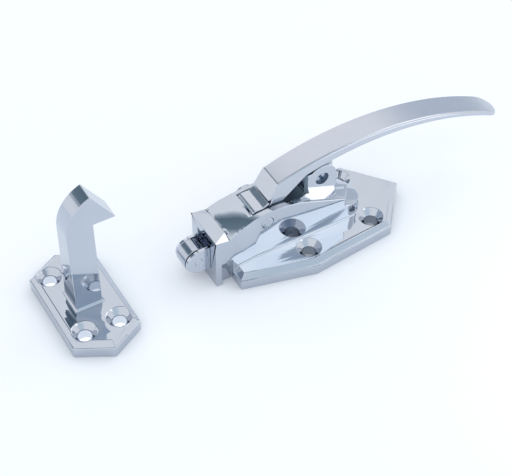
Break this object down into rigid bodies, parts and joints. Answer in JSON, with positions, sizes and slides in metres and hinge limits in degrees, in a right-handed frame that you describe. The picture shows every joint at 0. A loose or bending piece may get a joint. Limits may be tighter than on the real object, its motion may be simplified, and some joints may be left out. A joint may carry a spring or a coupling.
{
  "type": "cold room door latch",
  "caption": "Chrome cold room door latch: arched pull lever in a six-sided base draws back a sprung roller bolt, with a separate hooked strike post on its own bevelled plate.",
  "frame": {"origin": "on the door face, straight under the axis of the lever's pivot pin", "axes": "+X along the bolt towards the free end of the lever, +Y across the latch, +Z away from the door"},
  "size_m": [0.2527, 0.0721, 0.0773],
  "materials": {
    "bright_chrome": "bright polished plating on a zinc casting",
    "satin_chrome": "satin plating on a zinc casting",
    "bolt_steel": "polished steel",
    "pin_steel": "turned steel",
    "spring_steel": "drawn wire"
  },
  "bodies": {
    "base": {"base_casting": "bright_chrome", "pivot_pin": "pin_steel", "rest_pin": "pin_steel", "bolt_spring": "spring_steel", "strike": "bright_chrome"},
    "lever_arm": {"lever": "satin_chrome"},
    "bolt_bar": {"bolt": "bolt_steel", "roller_axle": "pin_steel"},
    "roller": {"bolt_roller": "bolt_steel"}
  },
  "joints": [
    {"name": "lever_pull", "type": "hinge", "parent": "base", "child": "lever_arm", "pos_m": [0, 0, 0.0283], "axis": [0, -1, 0], "range_deg": [0, 45]},
    {"name": "bolt_slide", "type": "slide", "parent": "base", "child": "bolt_bar", "axis": [1, 0, 0], "range_m": [0, 0.0075], "stiffness_N_per_m": 1200, "springref_m": -0.008, "deforming": ["bolt_spring"]},
    {"name": "roller_spin", "type": "hinge", "parent": "bolt_bar", "child": "roller", "pos_m": [-0.0363, 0, 0.0152], "axis": [0, 1, 0], "continuous": true}
  ],
  "couplings": [
    {"joint": "bolt_slide", "follows": "lever_pull", "m_per_rad": 0.009549}
  ]
}
